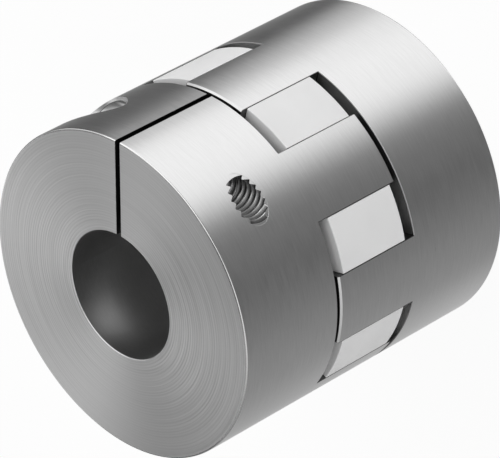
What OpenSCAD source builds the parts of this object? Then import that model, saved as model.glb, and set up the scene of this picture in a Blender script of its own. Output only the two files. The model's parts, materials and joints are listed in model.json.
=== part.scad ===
// Shaft coupling: two clamping hubs whose jaws mesh through an elastomer spider.
// The shaft axis is Z. The part stands on the end face of the rear hub, with the origin at that face's centre,
// and the clamping slit of the front hub points along +Y.

/* [Hubs] */
// Outer diameter of both hubs
outer_d = 56; // [50:0.5:70]
// Length of each hub from its end face to the floor of its jaw gaps
base_l = 20; // [17:0.5:30]
// Shaft diameter of the front hub
front_bore_d = 22; // [10:0.5:28]
// Shaft diameter of the rear hub
rear_bore_d = 22; // [10:0.5:28]
// Radius on the outer edge of each end face
edge_r = 0.3; // [0.1:0.1:1.5]
// Chamfer at both ends of each bore
bore_chamfer = 0.1; // [0.1:0.1:1]
// Width of the clamping slit
slit_w = 1; // [0.5:0.1:2]

/* [Jaws] */
// Number of jaws on each hub
jaw_count = 4; // [3:1:5]
// Gap between a jaw tip and the base of the other hub
jaw_tip_gap = 0.8; // [0.3:0.1:2]
// Chamfer on the outer edge of each jaw tip
tip_edge_chamfer = 0.3; // [0.1:0.1:1.5]
// Chamfer on the outer edge of the floors between the jaws
floor_chamfer = 0.1; // [0.05:0.05:1]

/* [Spider] */
// Width of the lobes along the shaft axis
lobe_w = 14; // [8:0.5:24]
// Angle between the two jaw flanks that hold one lobe, in degrees
lobe_angle = 19.6; // [12:0.2:26]
// Gap between the lobes and the base of each hub
lobe_end_gap = 2; // [0.5:0.1:4]
// Play between a lobe and each jaw flank, measured at the outer diameter
flank_play = 0.1; // [0.05:0.05:0.3]
// Depth of the lobe ends below the outer diameter
lobe_recess = 0.05; // [0.05:0.05:2]
// Radius on the outer edges of the lobes
lobe_edge_r = 0.15; // [0.05:0.05:1]
// Diameter of the hole in the middle
ring_inner_d = 27; // [24:0.5:32]
// Thickness of the inner ring that joins the lobes
ring_t = 3.2; // [2:0.1:5]
// Chamfer at both ends of the hole in the middle
ring_chamfer = 1; // [0.2:0.1:1.5]
// Play between the inner ring and the jaws
ring_play = 0.3; // [0.1:0.1:1]

/* [Clamp screws] */
// Thread diameter
thread_d = 6; // [4:0.5:8]
// Length under the head
screw_l = 20; // [12:1:22]
// Diameter of the head
head_d = 10; // [8:0.5:12]
// Height of the head
head_h = 6; // [4:0.5:8]
// Chamfer on the top edge of the head
head_chamfer = 0.5; // [0.1:0.1:1]
// Chamfer at the end of the thread
tip_chamfer = 0.8; // [0.2:0.1:1.2]
// Size of the hexagon key, across flats
key_af = 5; // [3:0.5:6]
// Depth of the hexagon socket
key_depth = 3; // [1.5:0.5:4]
// Distance of the screw axis from the hub's end face
screw_end_dist = 10; // [8:0.5:12]
// Distance of the screw axis below the outer diameter
screw_depth = 7; // [5:0.5:9]
// Distance of the head's seat from the middle of the slit
seat_dist = 6; // [3:0.5:8]
// Play around the threaded end
thread_play = 0.05; // [0.05:0.05:0.2]
// Play around the screw between the head and the slit
shank_play = 0.3; // [0.1:0.1:0.6]
// Play around the head in its counterbore
head_play = 0.5; // [0.2:0.1:1]

/* [Hidden] */
$fn = 96;
outer_r = outer_d / 2;
jaw_gap_l = lobe_w + 2 * lobe_end_gap;
total_l = 2 * base_l + jaw_gap_l;
jaw_l = jaw_gap_l - jaw_tip_gap;
hub_l = base_l + jaw_l;
ring_outer_r = ring_inner_d / 2 + ring_t;
jaw_inner_r = ring_outer_r + ring_play;
lobe_r = outer_r - lobe_recess;
screw_offset = outer_r - screw_depth;

// Angles: a jaw or a lobe follows every half jaw pitch, and a jaw fills what the lobes leave
jaw_pitch = 360 / jaw_count;
half_pitch = jaw_pitch / 2;
jaw_angle = half_pitch - lobe_angle;
play_angle = 2 * asin(flank_play / outer_r / 2);
slit_angle = 90;

// How far a cutter reaches past the solid that it cuts
over = outer_d / 50;
// Steps in the arc of a rounded edge
edge_steps = 6;

metal_color = "#a7abae";
elastomer_color = "#efefec";
screw_color = "#8b8e92";

// Points of a quarter arc round a centre, from one angle to another
function arc(centre, r, from, to) =
    [for (i = [0 : edge_steps]) let (a = from + (to - from) * i / edge_steps) centre + r * [cos(a), sin(a)]];

// Shapes that the hubs, the spider and the screws are cut from

// A flat wedge from the shaft axis to past the outer diameter, centred on one angle
module wedge(mid_angle, width_angle) {
    reach = (outer_r + over) / cos(width_angle / 2);
    rotate([0, 0, mid_angle])
        polygon([
            [0, 0],
            reach * [cos(width_angle / 2), -sin(width_angle / 2)],
            reach * [cos(width_angle / 2), sin(width_angle / 2)],
        ]);
}

// A cylinder along X on the clamp screw's axis, from one place on that axis to another
module on_screw_axis(d, x_from, x_to) {
    translate([x_from, screw_offset, screw_end_dist])
        rotate([0, 90, 0])
            cylinder(d = d, h = x_to - x_from);
}

// Hub: its end face lies at z = 0, its jaws point up, its slit lies at slit_angle and the screw head at +X

// The turned blank, as long as the base and the jaws together
module hub_blank(bore_d) {
    bore_r = bore_d / 2;
    rotate_extrude()
        polygon(concat(
            [[bore_r + bore_chamfer, 0]],
            arc([outer_r - edge_r, edge_r], edge_r, -90, 0),
            [
                [outer_r, hub_l - tip_edge_chamfer],
                [outer_r - tip_edge_chamfer, hub_l],
                [bore_r, hub_l],
                [bore_r, bore_chamfer],
            ]
        ));
}

// The gaps between the jaws as flat wedges, with one gap centred on the slit
module gap_wedges() {
    for (i = [0 : jaw_count - 1])
        wedge(slit_angle + i * jaw_pitch, jaw_pitch - jaw_angle);
}

// The room for the spider's ring and the gaps between the jaws
module jaw_gaps() {
    translate([0, 0, base_l])
        linear_extrude(jaw_l + over) {
            circle(r = jaw_inner_r);
            gap_wedges();
        }
}

// The chamfer round the floors between the jaws
module floor_chamfers() {
    intersection() {
        rotate_extrude()
            polygon([
                [outer_r - floor_chamfer - over, base_l + over],
                [outer_r + over, base_l + over],
                [outer_r + over, base_l - floor_chamfer - over],
            ]);
        translate([0, 0, base_l - floor_chamfer - 2 * over])
            linear_extrude(floor_chamfer + 4 * over)
                gap_wedges();
    }
}

// The chamfer at the inner end of the bore
module inner_bore_chamfer(bore_d) {
    translate([0, 0, base_l - bore_chamfer])
        cylinder(r1 = bore_d / 2, r2 = bore_d / 2 + bore_chamfer, h = bore_chamfer);
}

// The slit from the bore to the outside, through the whole base
module clamping_slit() {
    translate([-slit_w / 2, 0, -over])
        cube([slit_w, outer_r + over, base_l + 2 * over]);
}

// The threaded hole, the clearance hole and the counterbore of the clamp screw
module screw_holes() {
    on_screw_axis(thread_d, -outer_r, 0);
    on_screw_axis(thread_d + 2 * shank_play, 0, seat_dist + over);
    on_screw_axis(head_d + 2 * head_play, seat_dist, outer_r);
}

module clamping_hub(bore_d) {
    difference() {
        hub_blank(bore_d);
        inner_bore_chamfer(bore_d);
        jaw_gaps();
        floor_chamfers();
        clamping_slit();
        screw_holes();
    }
}

// Clamp screw, in the place that it has in a hub
module clamp_screw() {
    shank_r = thread_d / 2 - thread_play;
    translate([seat_dist, screw_offset, screw_end_dist])
        rotate([0, 90, 0])
            difference() {
                rotate_extrude()
                    polygon([
                        [0, -screw_l],
                        [shank_r - tip_chamfer, -screw_l],
                        [shank_r, tip_chamfer - screw_l],
                        [shank_r, 0],
                        [head_d / 2, 0],
                        [head_d / 2, head_h - head_chamfer],
                        [head_d / 2 - head_chamfer, head_h],
                        [0, head_h],
                    ]);
                translate([0, 0, head_h - key_depth])
                    cylinder(d = key_af / cos(30), h = key_depth + over, $fn = 6);
            }
}

// Where the hubs stand: the rear one as it is, turned half a jaw pitch and one jaw, and the front one upside down
module in_rear_place() {
    rotate([0, 0, half_pitch + jaw_pitch])
        children();
}

module in_front_place() {
    translate([0, 0, total_l])
        rotate([0, 180, 0])
            children();
}

module front_hub() {
    color(metal_color)
        in_front_place()
            clamping_hub(front_bore_d);
}

module rear_hub() {
    color(metal_color)
        in_rear_place()
            clamping_hub(rear_bore_d);
}

module front_clamp_screw() {
    color(screw_color)
        in_front_place()
            clamp_screw();
}

module rear_clamp_screw() {
    color(screw_color)
        in_rear_place()
            clamp_screw();
}

// Half section of the spider above its middle plane: the hole with its chamfer, and the lobes' round edge
function spider_half() = concat(
    [[ring_inner_d / 2, lobe_w / 2 - ring_chamfer], [ring_inner_d / 2 + ring_chamfer, lobe_w / 2]],
    arc([lobe_r - lobe_edge_r, lobe_w / 2 - lobe_edge_r], lobe_edge_r, 90, 0)
);

// One gap between two lobes, where a jaw goes in
module lobe_gap(mid_angle) {
    translate([0, 0, -lobe_w / 2 - over])
        linear_extrude(lobe_w + 2 * over)
            difference() {
                wedge(mid_angle, jaw_angle + 2 * play_angle);
                circle(r = ring_outer_r);
            }
}

// Elastomer star: a moulded ring with a lobe in each gap between two jaws
module spider() {
    half = spider_half();
    lower_half = [for (i = [len(half) - 1 : -1 : 0]) [half[i][0], -half[i][1]]];
    color(elastomer_color)
        translate([0, 0, total_l / 2])
            difference() {
                rotate_extrude()
                    polygon(concat(half, lower_half));
                for (i = [0 : 2 * jaw_count - 1])
                    lobe_gap(slit_angle + i * half_pitch);
            }
}

front_hub();
rear_hub();
spider();
front_clamp_screw();
rear_clamp_screw();
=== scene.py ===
# %% [markdown]
# This lesson dresses a shaft coupling: two turned aluminium hubs whose jaws mesh through a white elastomer
# star, with one cross screw that tightens each hub on its shaft. The exact solids come from the CAD model,
# and Blender adds what a drawing leaves out: the cut threads, the finished screws, the turning marks and
# the light.

# %% Load the CAD frame
import json
import math

import bpy
from mathutils import Matrix, Vector


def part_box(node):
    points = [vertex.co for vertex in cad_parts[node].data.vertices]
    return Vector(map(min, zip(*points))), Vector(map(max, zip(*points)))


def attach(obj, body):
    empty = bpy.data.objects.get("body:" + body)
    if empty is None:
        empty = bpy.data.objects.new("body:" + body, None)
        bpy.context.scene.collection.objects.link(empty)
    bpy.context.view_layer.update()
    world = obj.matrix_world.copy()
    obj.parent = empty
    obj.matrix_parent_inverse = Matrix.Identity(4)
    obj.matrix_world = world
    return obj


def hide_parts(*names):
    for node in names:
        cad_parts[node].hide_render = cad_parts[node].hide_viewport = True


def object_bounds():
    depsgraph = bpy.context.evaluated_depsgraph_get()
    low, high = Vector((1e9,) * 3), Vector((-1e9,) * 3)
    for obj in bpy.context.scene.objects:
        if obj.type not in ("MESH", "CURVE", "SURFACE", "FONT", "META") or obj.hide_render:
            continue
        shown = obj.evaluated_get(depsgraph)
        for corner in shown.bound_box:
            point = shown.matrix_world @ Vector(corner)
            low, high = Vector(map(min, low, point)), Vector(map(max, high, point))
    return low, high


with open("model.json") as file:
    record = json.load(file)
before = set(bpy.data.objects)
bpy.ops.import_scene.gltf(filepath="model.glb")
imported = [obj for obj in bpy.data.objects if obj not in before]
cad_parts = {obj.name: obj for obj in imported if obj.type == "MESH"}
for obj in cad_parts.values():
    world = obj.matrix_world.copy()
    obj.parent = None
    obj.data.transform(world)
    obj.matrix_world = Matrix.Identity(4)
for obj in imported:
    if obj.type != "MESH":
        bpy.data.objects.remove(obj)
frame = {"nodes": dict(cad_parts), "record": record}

cad_low, cad_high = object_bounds()
bpy.context.scene.view_settings.view_transform = "Standard"
print("CAD nodes:", ", ".join(sorted(frame["nodes"])))

# %% [markdown]
# The coupling stands on the end face of its rear hub, so its shaft axis is Z and the front hub is on top.
# All places are in metres. Where the hubs and the screws lie is measured on the CAD nodes, not typed in
# again, so that a thread still meets its hole when the model changes.

# %% Measure the hubs and the clamp screw
MM = 0.001
screw_low, screw_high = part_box("front_clamp_screw")
HUB_R = cad_high.x
PART_L = cad_high.z
SCREW_OFF = (screw_low.y + screw_high.y) / 2
SCREW_END = PART_L - (screw_low.z + screw_high.z) / 2
HEAD_R = (screw_high.z - screw_low.z) / 2
HEAD_TOP = -screw_low.x
SCREW_TIP = -screw_high.x
print(f"hub radius {HUB_R:.4f}, length of the part {PART_L:.4f}")
print(f"screw {SCREW_OFF:.4f} off the axis, {SCREW_END:.4f} from the end face")

# %% [markdown]
# A product photograph is taken from far away through a long lens, so that the circles stay round and the
# edges nearly parallel. Here the shaft lies level in the picture while the part stands upright in the
# scene, so the camera is tipped over with it: its right, up and forward directions are worked out from two
# angles.

# %% Set up the camera
TURN, TILT = math.radians(44.7), math.radians(32.02)
DISTANCE = 0.6952
AIM_RIGHT, AIM_UP = 0.02034, 0.01037

right = Vector((math.cos(TURN), 0, -math.sin(TURN)))
forward = -Vector((math.cos(TILT) * math.sin(TURN), math.sin(TILT), math.cos(TILT) * math.cos(TURN)))
up = right.cross(forward)
aim = Vector((0, 0, PART_L)) + AIM_RIGHT * right + AIM_UP * up
facing = Matrix((right, up, -forward)).transposed().to_4x4()

bpy.ops.object.select_all(action="DESELECT")
bpy.ops.object.camera_add()
camera = bpy.context.object
camera.data.sensor_fit = "HORIZONTAL"
camera.data.sensor_width = 36
camera.data.lens = 320
camera.matrix_world = Matrix.Translation(aim - DISTANCE * forward) @ facing
bpy.context.scene.camera = camera
print("camera at", [round(c, 3) for c in camera.location])

# %% [markdown]
# Shader nodes are easier to read as sums than as boxes and wires. A Wire stands for one output of a node,
# and Python's operators on it add Math nodes. A NodeSheet is the node tree of one material or of the
# world, and its add method makes any other node from a type, its settings, and the values or wires of its
# sockets.

# %% Write shader maths as Python
class Wire:
    """One output of a node, which takes part in sums."""

    def __init__(self, sheet, node, output=0):
        self.sheet, self.node, self.output = sheet, node, output

    def __getitem__(self, output):
        return Wire(self.sheet, self.node, output)

    def maths(self, operation, *values):
        return self.sheet.add("ShaderNodeMath", {"operation": operation}, dict(enumerate(values)))

    def at_most(self, limit):
        return self.maths("MINIMUM", self, limit)

    def __add__(self, other):
        return self.maths("ADD", self, other)

    def __radd__(self, other):
        return self.maths("ADD", other, self)

    def __sub__(self, other):
        return self.maths("SUBTRACT", self, other)

    def __rsub__(self, other):
        return self.maths("SUBTRACT", other, self)

    def __mul__(self, other):
        return self.maths("MULTIPLY", self, other)

    def __rmul__(self, other):
        return self.maths("MULTIPLY", other, self)

    def __truediv__(self, other):
        return self.maths("DIVIDE", self, other)

    def __rtruediv__(self, other):
        return self.maths("DIVIDE", other, self)

    def __pow__(self, other):
        return self.maths("POWER", self, other)

    def __abs__(self):
        return self.maths("ABSOLUTE", self)

    def __lt__(self, other):
        return self.maths("LESS_THAN", self, other)

    def __gt__(self, other):
        return self.maths("GREATER_THAN", self, other)


class NodeSheet:
    """The nodes of one material or of the world."""

    def __init__(self, owner):
        owner.use_nodes = True
        self.tree = owner.node_tree
        self.tree.nodes.clear()

    def add(self, kind, settings=None, sockets=None):
        node = self.tree.nodes.new(kind)
        for name, value in (settings or {}).items():
            if name == "stops":
                self.set_stops(node.color_ramp.elements, value)
            elif name == "ease":
                node.color_ramp.interpolation = value
            else:
                setattr(node, name, value)
        for name, value in (sockets or {}).items():
            if isinstance(value, Wire):
                self.tree.links.new(value.node.outputs[value.output], node.inputs[name])
            else:
                node.inputs[name].default_value = value
        return Wire(self, node)

    @staticmethod
    def set_stops(ramp, stops):
        """A new ramp has two stops: one goes, one moves to the first place, and the rest are added."""
        ramp.remove(ramp[1])
        ramp[0].position = stops[0][0]
        for place, _ in stops[1:]:
            ramp.new(place)
        for stop, (_, shade) in zip(ramp, stops):
            stop.color = (shade, shade, shade, 1)


print("ready to write shaders")

# %% [markdown]
# Three things come back in every finish: a blank material, a ramp of greys that turns a value into a tone,
# and a blend of two colours. They get a helper each. A Mix node has sockets of the same name for numbers,
# vectors and colours, so its colour sockets are called by their number.

# %% Helpers for finishes
MIX_SHARE, MIX_FROM, MIX_TO, MIX_COLOUR = 0, 6, 7, 2


def blank_material(name):
    """A new material and its empty sheet of nodes."""
    material = bpy.data.materials.new(name)
    return material, NodeSheet(material)


def grey_ramp(sheet, value, stops, ease="LINEAR"):
    """The tone of a value: each stop is a place from 0 to 1 and how bright it is there."""
    return sheet.add("ShaderNodeValToRGB", {"stops": stops, "ease": ease}, {"Fac": value})["Color"]


def blend(sheet, share, start, end):
    """From one colour to another by a share from 0 to 1."""
    sockets = {MIX_SHARE: share, MIX_FROM: start, MIX_TO: end}
    return sheet.add("ShaderNodeMix", {"data_type": "RGBA"}, sockets)[MIX_COLOUR]


print("ready to write finishes")

# %% [markdown]
# Turned metal has little colour of its own: what it shows is the studio. The world is therefore built of
# soft panels in three rings, low, middle and high, under a ceiling. In each ring bright panels and grey
# card fade into one another. The outside of the hubs mirrors the low ring, the end face and the rounded
# edges mirror the others. A sky texture or a picture of a room would be other ways, but a colour ramp
# round the horizon says plainly where it is bright and where it is dark.

# %% Build the studio round the part
world = bpy.data.worlds.new("studio")
bpy.context.scene.world = world
studio = NodeSheet(world)
look = studio.add("ShaderNodeSeparateXYZ", {}, {"Vector": studio.add("ShaderNodeTexCoord")["Generated"]})
bearing = look.maths("ARCTAN2", look["Y"], look["X"]) / math.tau + 0.5


def panel_ring(stops):
    """A ring of panels: the bearing in degrees from -180 to 180, and how bright the panel is there."""
    return grey_ramp(studio, bearing, [(degrees / 360 + 0.5, shade) for degrees, shade in stops], "EASE")


def fade(from_ring, to_ring, start, end):
    """From one ring of panels to the ring above it, between two heights."""
    rise = studio.add(
        "ShaderNodeMapRange",
        {"interpolation_type": "SMOOTHSTEP"},
        {"Value": look["Z"], "From Min": start, "From Max": end},
    )
    return blend(studio, rise["Result"], from_ring, to_ring)


low_ring = panel_ring(
    [(-180, 0.1), (-164, 0.19), (-142, 0.86), (-128, 0.9), (-112, 0.5), (-60, 0.3), (10, 0.12), (28, 0.17),
     (44, 0.23), (80, 1.25), (117, 1.3), (145, 0.2), (165, 0.06), (180, 0.1)]
)
middle_ring = panel_ring(
    [(-180, 0.5), (-160, 0.3), (-135, 0.15), (-80, 0.3), (-40, 0.5), (15, 0.5), (45, 0.2), (70, 0.2),
     (100, 1.05), (130, 1.1), (165, 1.0), (180, 0.5)]
)
high_ring = panel_ring(
    [(-180, 0.3), (-135, 0.08), (-90, 0.12), (-45, 0.8), (10, 1.2), (50, 1.2), (90, 0.65), (135, 0.55),
     (165, 0.6), (180, 0.3)]
)
ceiling = panel_ring([(-180, 0.4), (-130, 0.15), (70, 0.15), (130, 0.6), (180, 0.4)])

panels = fade(low_ring, middle_ring, start=-0.25, end=0.1)
panels = fade(panels, high_ring, start=0.25, end=0.5)
panels = fade(panels, ceiling, start=0.8, end=0.92)
shine = studio.add("ShaderNodeBackground", {}, {"Color": panels, "Strength": 1.0})
studio.add("ShaderNodeOutputWorld", {}, {"Surface": shine["Background"]})
print("studio of", len(studio.tree.nodes), "nodes")

# %% [markdown]
# The part stands on a plain white sheet that catches its shadow. The camera sees the sheet mostly glowing
# at strength 1, which is white, and a little of the lit paper, so the shadow stays light. The metal is
# kept from mirroring the sheet, because its reflection would wipe the panels off the sides of the hubs.

# %% Lay the floor
FLOOR_W = 4
FLOOR_DROP = 0.05 * MM
GLOW_SHARE = 0.93

bpy.ops.object.select_all(action="DESELECT")
bpy.ops.mesh.primitive_plane_add(size=FLOOR_W, location=(0, 0, -FLOOR_DROP))
floor = bpy.context.object
floor.name = "floor"
floor.visible_glossy = False

white_paper, paper = blank_material("white_paper")
fibre = paper.add(
    "ShaderNodeTexNoise",
    {},
    {"Vector": paper.add("ShaderNodeTexCoord")["Object"], "Scale": 40.0, "Detail": 3.0},
)
tone = grey_ramp(paper, fibre["Fac"], [(0.3, 0.96), (0.7, 0.98)])
matt = paper.add("ShaderNodeBsdfDiffuse", {}, {"Color": tone})
glow = paper.add("ShaderNodeEmission", {}, {"Color": (1, 1, 1, 1), "Strength": 1.0})
ray = paper.add("ShaderNodeLightPath")
mirrored = ray.maths("MAXIMUM", ray["Is Glossy Ray"], ray["Is Transmission Ray"])
seen = ray.maths("MAXIMUM", ray["Is Camera Ray"], mirrored)
both = {"Fac": GLOW_SHARE * seen, 1: matt["BSDF"], 2: glow["Emission"]}
sheet = paper.add("ShaderNodeMixShader", {}, both)
paper.add("ShaderNodeOutputMaterial", {}, {"Surface": sheet["Shader"]})
floor.data.materials.append(white_paper)
print("floor", floor.dimensions.x, "m wide")

# %% [markdown]
# Four soft lamps model the part. The large one over the bright panel lights the white lobes and throws the
# shadow, the one across from it fills that shadow, and a small one close to the left makes the end face
# fall off from left to right. The smallest hangs in the bore and stands for the light that comes in
# through the open rear end, which the sheet closes here. A lamp's power follows from how bright its panel
# should look.

# %% Hang the lamps
def soft_lamp(name, place, width, brightness, target=(0, 0, PART_L / 2)):
    """A square soft box that faces the part, with the brightness of its panel."""
    bpy.ops.object.light_add(type="AREA", location=place)
    lamp = bpy.context.object
    lamp.name = name
    lamp.data.shape = "SQUARE"
    lamp.data.size = width
    lamp.visible_camera = False
    lamp.data.energy = brightness * math.pi * width * width
    lamp.rotation_euler = (Vector(target) - Vector(place)).to_track_quat("-Z", "Y").to_euler()
    print(name, "of", round(lamp.data.energy, 6), "W")


soft_lamp("key_lamp", (-0.2, 0.62, 0.7), width=1.2, brightness=0.73)
soft_lamp("fill_lamp", (-0.08, -0.6, 0.72), width=0.6, brightness=0.4)
soft_lamp("side_lamp", (-0.09, -0.06, 0.082), width=0.08, brightness=0.8)
soft_lamp(
    "bore_lamp",
    (-2.8 * MM, -0.1 * MM, 48.3 * MM),
    width=4 * MM,
    brightness=0.75,
    target=(-6.3 * MM, -9 * MM, 55.5 * MM),
)

# %% [markdown]
# In a real studio the panels stand close, so the two hubs don't mirror quite the same. Two soft cards do
# that here: they hang low beside the rear hub, below the sheet's level, and widen that hub's highlights. A
# card is a plane of glowing gauze that is brightest in its middle and lets the panels behind it shine
# through. Only mirrors see it.

# %% Hang cards beside the rear hub
def hang_card(name, place, bearing, width, strength):
    """A square of glowing gauze that stands upright and faces the part along a bearing in degrees."""
    bpy.ops.object.select_all(action="DESELECT")
    turn = (math.pi / 2, 0, math.radians(bearing + 90))
    bpy.ops.mesh.primitive_plane_add(size=width, location=place, rotation=turn)
    card = bpy.context.object
    card.name = name
    card.visible_camera = card.visible_diffuse = card.visible_shadow = False

    material, gauze = blank_material(f"{name}_gauze")
    spot = gauze.add("ShaderNodeTexCoord")["Object"]
    from_middle = gauze.add("ShaderNodeVectorMath", {"operation": "LENGTH"}, {0: spot})["Value"]
    core, rim = 0.15 * width, 0.5 * width
    fading = gauze.add(
        "ShaderNodeMapRange",
        {"interpolation_type": "SMOOTHSTEP"},
        {"Value": from_middle, "From Min": core, "From Max": rim, "To Min": 1.0, "To Max": 0.0},
    )
    gleam = gauze.add("ShaderNodeEmission", {}, {"Color": fading["Result"], "Strength": strength})
    clear = gauze.add("ShaderNodeBsdfTransparent")
    veil = gauze.add("ShaderNodeAddShader", {}, {0: clear["BSDF"], 1: gleam["Emission"]})
    gauze.add("ShaderNodeOutputMaterial", {}, {"Surface": veil["Shader"]})
    card.data.materials.append(material)
    print(name, "is", width, "m wide")


hang_card("upper_card", (-0.138, 0.112, -0.16), bearing=148, width=0.18, strength=0.75)
hang_card("lower_card", (-0.01, -0.171, -0.183), bearing=-102, width=0.28, strength=0.16)

# %% [markdown]
# Both hubs are the same part: the rear one is turned a half jaw pitch and one jaw, the front one stands on
# its head. Their finish is easiest to tell in the hub's own frame, with the end face at height 0, the slit
# towards +Y and the screw head towards +X. A Mapping node takes each point back into that frame, so one
# recipe fits both hubs. Unwrapping them would be another way, but a place needs no seams and stays put
# when the mesh changes.

# %% See each hub in its own frame
REAR_TURN = math.radians(135)
LOBE_END_GAP = 2 * MM
BORE_R = frame["record"]["mounts"][0]["dims"]["r_mm"] * MM
BASE_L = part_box("spider")[0].z - LOBE_END_GAP
JAW_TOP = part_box("rear_hub")[1].z


def hub_frame(sheet, turn, lift):
    """A point's x, y and z in its hub's own frame, and how far it is from the shaft axis."""
    place = sheet.add("ShaderNodeTexCoord")["Object"]
    own = sheet.add("ShaderNodeMapping", {}, {"Vector": place, "Rotation": turn, "Location": (0, 0, lift)})
    at = sheet.add("ShaderNodeSeparateXYZ", {}, {"Vector": own["Vector"]})
    x, y, z = at["X"], at["Y"], at["Z"]
    return x, y, z, (x * x + y * y) ** 0.5


print(f"bore radius {BORE_R:.4f}, base {BASE_L:.4f} long, jaws up to {JAW_TOP:.4f}")

# %% [markdown]
# The hubs are turned on a lathe, and the tool leaves fine marks: long rings on the end face, and short
# hoops round the outside. The sum of a point's radius and its height steps along both, so one stretched
# noise gives every face its marks, and a sine adds the even feed marks of the facing cut. On the end face
# the marks are deeper near the bore, where the metal passes the tool more slowly, and fainter towards the
# slit, where the hub springs away from the tool. They show as a change of tone and as a very shallow
# relief.

# %% Draw the marks of the lathe
FACE_SKIN = 0.004 * MM
MARK_STEP = 0.2 * MM
MARK_RELIEF = 0.006 * MM
OUTSIDE_STROKES, FACE_STROKES = 7, 0.8
FEED = 0.48 * MM
FEED_TONE, FEED_RELIEF = 0.09, 1.2
DEPTH_AT_BORE, DEPTH_AT_RIM = 1.35, 0.75
SLIT_EASE = 0.6


def lathe_marks(metal, x, y, z, radius):
    """Where the end face is, the noise of the marks, and the tone and the normals that they give."""
    face = z < FACE_SKIN
    strokes = (OUTSIDE_STROKES - (OUTSIDE_STROKES - FACE_STROKES) * face) / radius
    steps = {"X": x * strokes, "Y": y * strokes, "Z": (radius + z) / MARK_STEP}
    along = metal.add("ShaderNodeCombineXYZ", {}, steps)["Vector"]
    grit = {"Vector": along, "Scale": 1.0, "Detail": 3.0, "Roughness": 0.6}
    marks = metal.add("ShaderNodeTexNoise", {}, grit)["Fac"]
    feed = radius.maths("SINE", radius * (math.tau / FEED))
    across = (x * x - y * y) / (radius * radius)
    outwards = (radius - BORE_R) / (HUB_R - BORE_R)
    depth = (DEPTH_AT_BORE - (DEPTH_AT_BORE - DEPTH_AT_RIM) * outwards) * (1 + SLIT_EASE * across)

    hoops = grey_ramp(metal, marks, [(0.3, 0.68), (0.7, 0.75)])
    rings = grey_ramp(metal, 0.5 + depth * (marks - 0.5 + FEED_TONE * feed), [(0.2, 0.61), (0.8, 0.82)])
    height = marks + depth * face * (0.5 + 0.5 * across) * (marks + FEED_RELIEF * feed)
    relief = metal.add("ShaderNodeBump", {}, {"Strength": 1.0, "Distance": MARK_RELIEF, "Height": height})
    return face, marks, blend(metal, face, hoops, rings), relief["Normal"]


print(f"marks every {MARK_STEP / MM:.2f} mm, feed {FEED / MM:.2f} mm a turn")

# %% [markdown]
# The slit, the jaws, the bore and the thread are milled, bored or tapped, and the edge of the end face is
# rounded and polished, so none of them shows the rings. Masks on the hub's own frame say where that is,
# and how much painted shade darkens the metal's colour there: in the slit, the bore, the thread's grooves,
# round the jaws, their floors and their lips. They reach a hair past each face, to be sure to cover it.

# %% Mark what is milled, bored and tapped
HAIR = 0.02 * MM
FACET_DIP = 0.022 * MM
CHAMFER = 0.1 * MM
RIM = 0.12 * MM
EDGE_R = 0.3 * MM
HALF_SLIT = 0.52 * MM
THREAD_IN, THREAD_OUT = 2.55 * MM, 3.03 * MM
FLANK, FLANK_BAND = math.radians(32.3), 0.003


def machined_places(x, y, z, radius, face):
    """Where the rings are gone, how much shade is painted there, and where the edge of the end face is."""
    from_screw = ((y - SCREW_OFF) ** 2 + (z - SCREW_END) ** 2) ** 0.5
    from_floor = abs(z - BASE_L)
    from_flank = abs(x.maths("PINGPONG", x.maths("ARCTAN2", y, x), math.pi / 4) - FLANK)
    inside = radius < HUB_R - RIM

    slit = (abs(x) < HALF_SLIT) * (y > BORE_R - CHAMFER) * (z < BASE_L + CHAMFER)
    floors = (from_floor < HAIR) * inside
    lips = (from_floor < RIM) * (1 - inside) * (radius < HUB_R - FACET_DIP)
    tips = (z > JAW_TOP - HAIR) * inside
    bore = (radius < BORE_R + HAIR) * (1 - slit)
    flanks = (from_flank < FLANK_BAND) * (z > BASE_L)
    groove = (x < 0) * inside * (from_screw < THREAD_OUT) * (from_screw > THREAD_IN)
    edge = (z < EDGE_R) * (radius > HUB_R - EDGE_R) * (1 - face)

    cut = (slit + floors + lips + tips + bore + flanks + groove + edge).at_most(1)
    # painted shade in the thread's grooves, darker towards their roots
    groove_shade = groove * (0.4 + 0.55 * (from_screw - THREAD_IN) / (THREAD_OUT - THREAD_IN))
    # how much shade is painted on each machined place
    dark = 0.9 * slit + 0.5 * floors + 0.6 * lips + 0.85 * tips + 0.4 * bore + 0.8 * flanks + groove_shade
    return cut, dark.at_most(1), edge


print(f"thread between {THREAD_IN:.5f} and {THREAD_OUT:.5f}, slit {2 * HALF_SLIT:.5f} wide with its skin")

# %% [markdown]
# Rings stretch the highlights across themselves, which the shader's anisotropy does. A second, even shader
# covers what the masks name, and a Mix Shader lays one beside the other. The CAD nodes then get the finish.

# %% Finish the hubs in turned aluminium
SHADED = (0.04, 0.04, 0.04, 1)


def turned_aluminium(name, turn, lift):
    """The finish of one hub, for a place that is turned and lifted into the hub's own frame."""
    material, metal = blank_material(name)
    x, y, z, radius = hub_frame(metal, turn, lift)
    face, marks, bright, relief = lathe_marks(metal, x, y, z, radius)
    cut, dark, edge = machined_places(x, y, z, radius, face)
    turned = metal.add(
        "ShaderNodeBsdfPrincipled",
        {},
        {
            "Base Color": bright,
            "Metallic": 1.0,
            "Roughness": 0.24 + 0.16 * marks + 0.1 * face,
            "Anisotropic": 0.75,
            "Anisotropic Rotation": 0.25,
            "Normal": relief,
        },
    )
    # the colour of the machined places carries the painted shade
    milled = metal.add(
        "ShaderNodeBsdfPrincipled",
        {},
        {
            "Base Color": blend(metal, dark, bright, SHADED),
            "Metallic": 1.0,
            "Roughness": 0.32 + 0.1 * marks - 0.22 * edge,
        },
    )
    surface = metal.add("ShaderNodeMixShader", {}, {"Fac": cut, 1: turned["BSDF"], 2: milled["BSDF"]})
    metal.add("ShaderNodeOutputMaterial", {}, {"Surface": surface["Shader"]})
    return material


def dress(node, material):
    """Gives a CAD node a material."""
    piece = frame["nodes"][node]
    piece.data.materials.clear()
    piece.data.materials.append(material)
    print(node, "wears", material.name)


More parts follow.
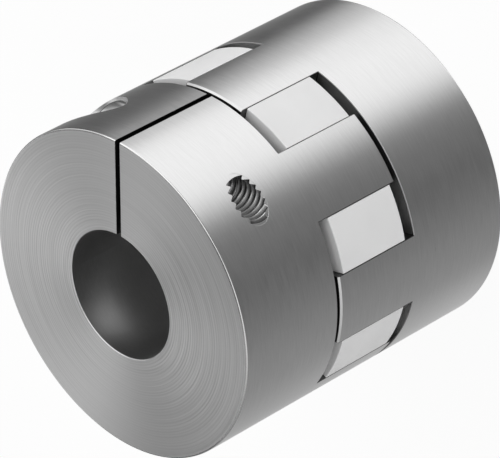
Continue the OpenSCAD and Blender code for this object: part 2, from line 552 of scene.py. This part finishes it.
aluminium = {
    "front": turned_aluminium("front_turned_aluminium", (0, math.pi, 0), PART_L),
    "rear": turned_aluminium("rear_turned_aluminium", (0, 0, -REAR_TURN), 0),
}
for end in aluminium:
    dress(f"{end}_hub", aluminium[end])

# %% [markdown]
# The star between the jaws is moulded from a hard white elastomer. Its skin is smooth but not polished,
# with a faint orange-peel grain from the mould and soft clouds in its white. Two noises of different size
# give both.

# %% Finish the star in white elastomer
GRAIN, CLOUD = 0.35 * MM, 9 * MM
PEEL_RELIEF = 0.006 * MM


def white_elastomer():
    material, moulding = blank_material("white_elastomer")
    place = moulding.add("ShaderNodeTexCoord")["Object"]
    grain, cloud = [
        moulding.add("ShaderNodeTexNoise", {}, {"Vector": place, "Scale": 1 / size, "Detail": 2.0})["Fac"]
        for size in (GRAIN, CLOUD)
    ]
    peel = moulding.add("ShaderNodeBump", {}, {"Strength": 0.6, "Distance": PEEL_RELIEF, "Height": grain})
    surface = moulding.add(
        "ShaderNodeBsdfPrincipled",
        {},
        {
            "Base Color": grey_ramp(moulding, cloud, [(0.3, 0.86), (0.7, 0.9)]),
            "Roughness": 0.5 + 0.1 * grain,
            "Normal": peel["Normal"],
        },
    )
    moulding.add("ShaderNodeOutputMaterial", {}, {"Surface": surface["BSDF"]})
    return material


dress("spider", white_elastomer())

# %% [markdown]
# The clamp screws are bright plated steel: darker and smoother than the aluminium, with fine drawing marks
# along the screw. Both screws lie level, so a noise that is squeezed along the height of the part and
# drawn out along the other two directions runs the right way on both.

# %% Finish for the screws
STREAK_L, STREAK_W = 3 * MM, 0.12 * MM
STREAK_RELIEF = 0.002 * MM


def bright_steel():
    material, steel = blank_material("bright_steel")
    place = steel.add("ShaderNodeTexCoord")["Object"]
    stretch = (1 / STREAK_L, 1 / STREAK_L, 1 / STREAK_W)
    streak = steel.add("ShaderNodeMapping", {}, {"Vector": place, "Scale": stretch})["Vector"]
    drawn = steel.add("ShaderNodeTexNoise", {}, {"Vector": streak, "Scale": 1.0, "Detail": 3.0})["Fac"]
    scratch = steel.add("ShaderNodeBump", {}, {"Strength": 0.5, "Distance": STREAK_RELIEF, "Height": drawn})
    surface = steel.add(
        "ShaderNodeBsdfPrincipled",
        {},
        {
            "Base Color": grey_ramp(steel, drawn, [(0.3, 0.66), (0.7, 0.74)]),
            "Metallic": 1.0,
            "Roughness": 0.08 + 0.1 * drawn,
            "Normal": scratch["Normal"],
        },
    )
    steel.add("ShaderNodeOutputMaterial", {}, {"Surface": surface["BSDF"]})
    return material


steel = bright_steel()
print("made", steel.name)

# %% [markdown]
# Modelling by hand is a row of selections and operators. Two of them come back below: picking the corners,
# edges or faces at a certain place, and letting one solid cut, join or trim another.

# %% Helpers for modelling
NEAR = 0.01 * MM


def pick(piece, kind, wanted):
    """In edit mode, selects the vertices, edges or faces whose middle is wanted."""
    bpy.ops.object.mode_set(mode="EDIT")
    bpy.ops.mesh.select_mode(type=kind)
    bpy.ops.mesh.select_all(action="DESELECT")
    bpy.ops.object.mode_set(mode="OBJECT")
    points = piece.data.vertices
    for item in {"VERT": points, "EDGE": piece.data.edges, "FACE": piece.data.polygons}[kind]:
        corners = [item.index] if kind == "VERT" else item.vertices
        item.select = wanted(sum((points[i].co for i in corners), Vector()) / len(corners))
    bpy.ops.object.mode_set(mode="EDIT")


def apply_boolean(piece, operation, tool):
    """Cuts, joins or trims a piece by a tool, which is then deleted."""
    bpy.ops.object.mode_set(mode="OBJECT")
    bpy.ops.object.select_all(action="DESELECT")
    bpy.context.view_layer.objects.active = piece
    piece.select_set(True)
    bpy.ops.object.modifier_add(type="BOOLEAN")
    modifier = piece.modifiers[-1]
    modifier.operation, modifier.object, modifier.solver = operation, tool, "EXACT"
    bpy.ops.object.modifier_apply(modifier=modifier.name)
    bpy.data.objects.remove(tool)


print(f"picks within {NEAR:.5f} m")

# %% [markdown]
# Both threads, on the screws and in the hubs, are one ridge that climbs a helix. By hand you would draw
# the ridge's section once and let the Screw modifier sweep it: one pitch up for each turn. A plane gives
# the four corners of that section. Its face goes, because the modifier sweeps edges, and the two open ends
# are filled.

# %% A helical ridge
PITCH = 1 * MM
SWEEP_STEPS = 40
MERGE = 0.001 * MM


def helical_ridge(name, foot_r, foot_w, crest_r, crest_w, bottom, turns):
    """A thread's ridge round Z: its width at the foot and at the crest, from the bottom upwards."""
    bpy.ops.object.select_all(action="DESELECT")
    bpy.ops.mesh.primitive_plane_add(size=1, location=(0, 0, 0), rotation=(math.pi / 2, 0, 0))
    ridge = bpy.context.object
    ridge.name = name
    bpy.ops.object.transform_apply(location=True, rotation=True, scale=True)
    bpy.ops.object.mode_set(mode="EDIT")
    bpy.ops.mesh.select_all(action="SELECT")
    bpy.ops.transform.resize(value=(abs(crest_r - foot_r), 1, foot_w))
    bpy.ops.transform.translate(value=((crest_r + foot_r) / 2, 0, bottom))
    pick(ridge, "VERT", lambda p: abs(p.x - crest_r) < NEAR)
    bpy.ops.transform.resize(value=(1, 1, crest_w / foot_w), center_override=(crest_r, 0, bottom))
    bpy.ops.mesh.select_all(action="SELECT")
    bpy.ops.mesh.delete(type="ONLY_FACE")
    bpy.ops.object.mode_set(mode="OBJECT")
    bpy.ops.object.modifier_add(type="SCREW")
    sweep = ridge.modifiers[-1]
    sweep.axis, sweep.angle, sweep.screw_offset, sweep.iterations = "Z", math.tau, PITCH, turns
    sweep.steps = sweep.render_steps = SWEEP_STEPS
    bpy.ops.object.modifier_apply(modifier=sweep.name)
    bpy.ops.object.mode_set(mode="EDIT")
    bpy.ops.mesh.select_all(action="SELECT")
    bpy.ops.mesh.remove_doubles(threshold=MERGE)
    bpy.ops.mesh.fill_holes(sides=0)
    bpy.ops.mesh.select_all(action="SELECT")
    bpy.ops.mesh.normals_make_consistent(inside=False)
    bpy.ops.object.mode_set(mode="OBJECT")
    print(name, "of", turns, "turns,", len(ridge.data.polygons), "faces")
    return ridge


print(f"pitch {PITCH / MM:.1f} mm, {SWEEP_STEPS} steps a turn")

# %% [markdown]
# What is modelled for one hub serves both. The pieces are made where a hub would stand on its end face,
# with the screw head towards +X, and copies of them are then set in the places of the two hubs.

# %% Where the two hubs stand
HUB_PLACES = {
    "front": Matrix.Translation((0, 0, PART_L)) @ Matrix.Rotation(math.pi, 4, "Y"),
    "rear": Matrix.Rotation(REAR_TURN, 4, "Z"),
}
SCREW_AXIS = Matrix.Translation((0, SCREW_OFF, SCREW_END)) @ Matrix.Rotation(math.pi / 2, 4, "Y")


def set_in_hubs(pattern, suffix, materials):
    """Copies a piece to both hubs, each copy with its own mesh, and removes the pattern."""
    made = {}
    for end, place in HUB_PLACES.items():
        piece = pattern.copy()
        piece.data = pattern.data.copy()
        piece.name = piece.data.name = f"{end}_{suffix}"
        bpy.context.scene.collection.objects.link(piece)
        piece.data.transform(place)
        piece.data.materials.clear()
        piece.data.materials.append(materials[end])
        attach(piece, "root")
        made[end] = piece
        print(piece.name, len(piece.data.polygons), "faces")
    bpy.data.objects.remove(pattern)
    return made


print("places for", " and ".join(HUB_PLACES))

# %% [markdown]
# The hub's thread is cut right through to the outside, so its ridges end in the outer face and make the
# mouth of the hole look toothed. The ridge starts beside the screw's tip, half a pitch from the screw's
# own ridge so that the two lie in each other's grooves, runs on past the outside, and is then trimmed by
# the hub's own round.

# %% Cut thread of the hubs
TRIM_R = HUB_R - 0.03 * MM
TRIM_SIDES = 720
SMOOTH_ANGLE = math.radians(30)

hub_thread = helical_ridge(
    "hub_thread",
    foot_r=3.02 * MM,
    foot_w=0.96 * MM,
    crest_r=2.46 * MM,
    crest_w=0.14 * MM,
    bottom=-22.1 * MM,
    turns=11,
)
hub_thread.data.transform(SCREW_AXIS)
bpy.ops.object.select_all(action="DESELECT")
bpy.ops.mesh.primitive_cylinder_add(
    vertices=TRIM_SIDES, radius=TRIM_R, depth=PART_L, location=(0, 0, PART_L / 2)
)
apply_boolean(hub_thread, "INTERSECT", bpy.context.object)
bpy.ops.object.shade_smooth_by_angle(angle=SMOOTH_ANGLE)
set_in_hubs(hub_thread, "hub_thread", aluminium)

# %% [markdown]
# A cap screw is a head with a hexagon socket on a threaded shank. The head is a cylinder whose top edge is
# rounded. Its underside is inset and drawn out to the core of the shank, with a short taper at the tip.

# %% Model the blank of the cap screw
HEAD_H = 6 * MM
HEAD_SIDES = 96
CORE_R = 2.42 * MM
SEAT = HEAD_TOP - HEAD_H
TOP_ROUND, SEAT_ROUND = 0.5 * MM, 0.2 * MM
TAPER_L, TAPER = 0.4 * MM, 0.88

bpy.ops.object.select_all(action="DESELECT")
bpy.ops.mesh.primitive_cylinder_add(
    vertices=HEAD_SIDES, radius=HEAD_R, depth=HEAD_H, location=(0, 0, SEAT + HEAD_H / 2)
)
cap_screw = bpy.context.object
cap_screw.name = "cap_screw"
bpy.ops.object.transform_apply(location=True, rotation=True, scale=True)
pick(cap_screw, "EDGE", lambda p: p.z > HEAD_TOP - NEAR)
bpy.ops.mesh.bevel(offset=TOP_ROUND, segments=4, affect="EDGES")
pick(cap_screw, "EDGE", lambda p: p.z < SEAT + NEAR)
bpy.ops.mesh.bevel(offset=SEAT_ROUND, segments=2, affect="EDGES")
pick(cap_screw, "FACE", lambda p: p.z < SEAT + NEAR and p.xy.length < MM)
bpy.ops.mesh.inset(thickness=HEAD_R - SEAT_ROUND - CORE_R)
bpy.ops.mesh.extrude_region_move(TRANSFORM_OT_translate={"value": (0, 0, SCREW_TIP + TAPER_L - SEAT)})
bpy.ops.mesh.extrude_region_move(TRANSFORM_OT_translate={"value": (0, 0, -TAPER_L)})
bpy.ops.transform.resize(value=(TAPER, TAPER, 1), center_override=(0, 0, SCREW_TIP))
bpy.ops.object.mode_set(mode="OBJECT")
print("blank with", len(cap_screw.data.polygons), "faces")

# %% [markdown]
# The ridge is joined to the blank, and a six-sided prism with a drilled point cuts the socket. The
# finished screws take the place of the plain ones from the CAD model.

# %% Add the screw's thread and its socket
KEY_AF = 5 * MM
KEY_R = KEY_AF / 2 / math.cos(math.pi / 6)
KEY_DEPTH, KEY_OVER = 3 * MM, 1 * MM
DRILL_L, DRILL_TIP = 1.2 * MM, 0.02

screw_thread = helical_ridge(
    "screw_thread",
    foot_r=2.36 * MM,
    foot_w=0.84 * MM,
    crest_r=2.9 * MM,
    crest_w=0.14 * MM,
    bottom=SCREW_TIP + 1.4 * MM,
    turns=16,
)
apply_boolean(cap_screw, "UNION", screw_thread)

bpy.ops.object.select_all(action="DESELECT")
bpy.ops.mesh.primitive_cylinder_add(
    vertices=6,
    radius=KEY_R,
    depth=KEY_DEPTH + KEY_OVER,
    location=(0, 0, HEAD_TOP - (KEY_DEPTH - KEY_OVER) / 2),
)
key = bpy.context.object
bpy.ops.object.transform_apply(location=True, rotation=True, scale=True)
pick(key, "FACE", lambda p: p.z < HEAD_TOP - KEY_DEPTH + NEAR)
bpy.ops.mesh.extrude_region_move(TRANSFORM_OT_translate={"value": (0, 0, -DRILL_L)})
bpy.ops.transform.resize(value=(DRILL_TIP, DRILL_TIP, 1), center_override=(0, 0, 0))
apply_boolean(cap_screw, "DIFFERENCE", key)
bpy.ops.object.shade_smooth_by_angle(angle=SMOOTH_ANGLE)

cap_screw.data.transform(SCREW_AXIS)
screws = set_in_hubs(cap_screw, "cap_screw", {"front": steel, "rear": steel})
for end, piece in screws.items():
    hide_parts(f"{end}_clamp_screw")
